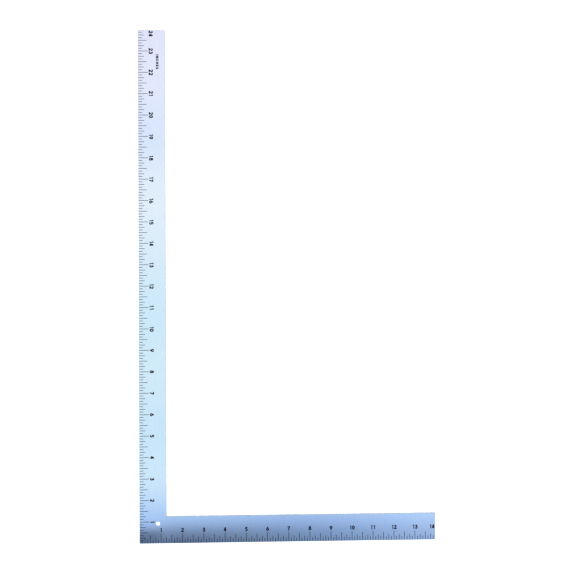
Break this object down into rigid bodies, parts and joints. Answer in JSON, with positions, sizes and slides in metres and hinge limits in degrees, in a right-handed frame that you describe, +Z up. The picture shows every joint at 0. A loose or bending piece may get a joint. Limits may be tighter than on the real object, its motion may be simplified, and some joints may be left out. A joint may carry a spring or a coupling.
{
  "type": "steel square ruler",
  "caption": "Flat L-shaped steel square with inch scales along both outer edges, recessed black enamel numerals and a hanging hole at the heel.",
  "frame": {"origin": "outer corner of the heel, on the underside, where both scales have their zero", "axes": "+Z up out of the graduated face, +Y along the long arm (blade), +X along the short arm (tongue)"},
  "size_m": [0.3548, 0.6088, 0.0015],
  "materials": {
    "steel": "smooth rolled and polished steel with a fine grain along the arms",
    "black_enamel": "baked black enamel, slightly sunk in each mark"
  },
  "bodies": {
    "root": {"square_plate": "steel", "blade_numeral_1": "black_enamel", "blade_numeral_2": "black_enamel", "blade_numeral_3": "black_enamel", "blade_numeral_4": "black_enamel", "blade_numeral_5": "black_enamel", "blade_numeral_6": "black_enamel", "blade_numeral_7": "black_enamel", "blade_numeral_8": "black_enamel", "blade_numeral_9": "black_enamel", "blade_numeral_10_left": "black_enamel", "blade_numeral_10_right": "black_enamel", "blade_numeral_11_left": "black_enamel", "blade_numeral_11_right": "black_enamel", "blade_numeral_12_left": "black_enamel", "blade_numeral_12_right": "black_enamel", "blade_numeral_13_left": "black_enamel", "blade_numeral_13_right": "black_enamel", "blade_numeral_14_left": "black_enamel", "blade_numeral_14_right": "black_enamel", "blade_numeral_15_left": "black_enamel", "blade_numeral_15_right": "black_enamel", "blade_numeral_16_left": "black_enamel", "blade_numeral_16_right": "black_enamel", "blade_numeral_17_left": "black_enamel", "blade_numeral_17_right": "black_enamel", "blade_numeral_18_left": "black_enamel", "blade_numeral_18_right": "black_enamel", "blade_numeral_19_left": "black_enamel", "blade_numeral_19_right": "black_enamel", "blade_numeral_20_left": "black_enamel", "blade_numeral_20_right": "black_enamel", "blade_numeral_21_left": "black_enamel", "blade_numeral_21_right": "black_enamel", "blade_numeral_22_left": "black_enamel", "blade_numeral_22_right": "black_enamel", "blade_numeral_23_left": "black_enamel", "blade_numeral_23_right": "black_enamel", "blade_numeral_24_left": "black_enamel", "blade_numeral_24_right": "black_enamel", "tongue_numeral_1": "black_enamel", "tongue_numeral_2": "black_enamel", "tongue_numeral_3": "black_enamel", "tongue_numeral_4": "black_enamel", "tongue_numeral_5": "black_enamel", "tongue_numeral_6": "black_enamel", "tongue_numeral_7": "black_enamel", "tongue_numeral_8": "black_enamel", "tongue_numeral_9": "black_enamel", "tongue_numeral_10_left": "black_enamel", "tongue_numeral_10_right": "black_enamel", "tongue_numeral_11_left": "black_enamel", "tongue_numeral_11_right": "black_enamel", "tongue_numeral_12_left": "black_enamel", "tongue_numeral_12_right": "black_enamel", "tongue_numeral_13_left": "black_enamel", "tongue_numeral_13_right": "black_enamel", "tongue_numeral_14_left": "black_enamel", "tongue_numeral_14_right": "black_enamel"}
  },
  "joints": []
}
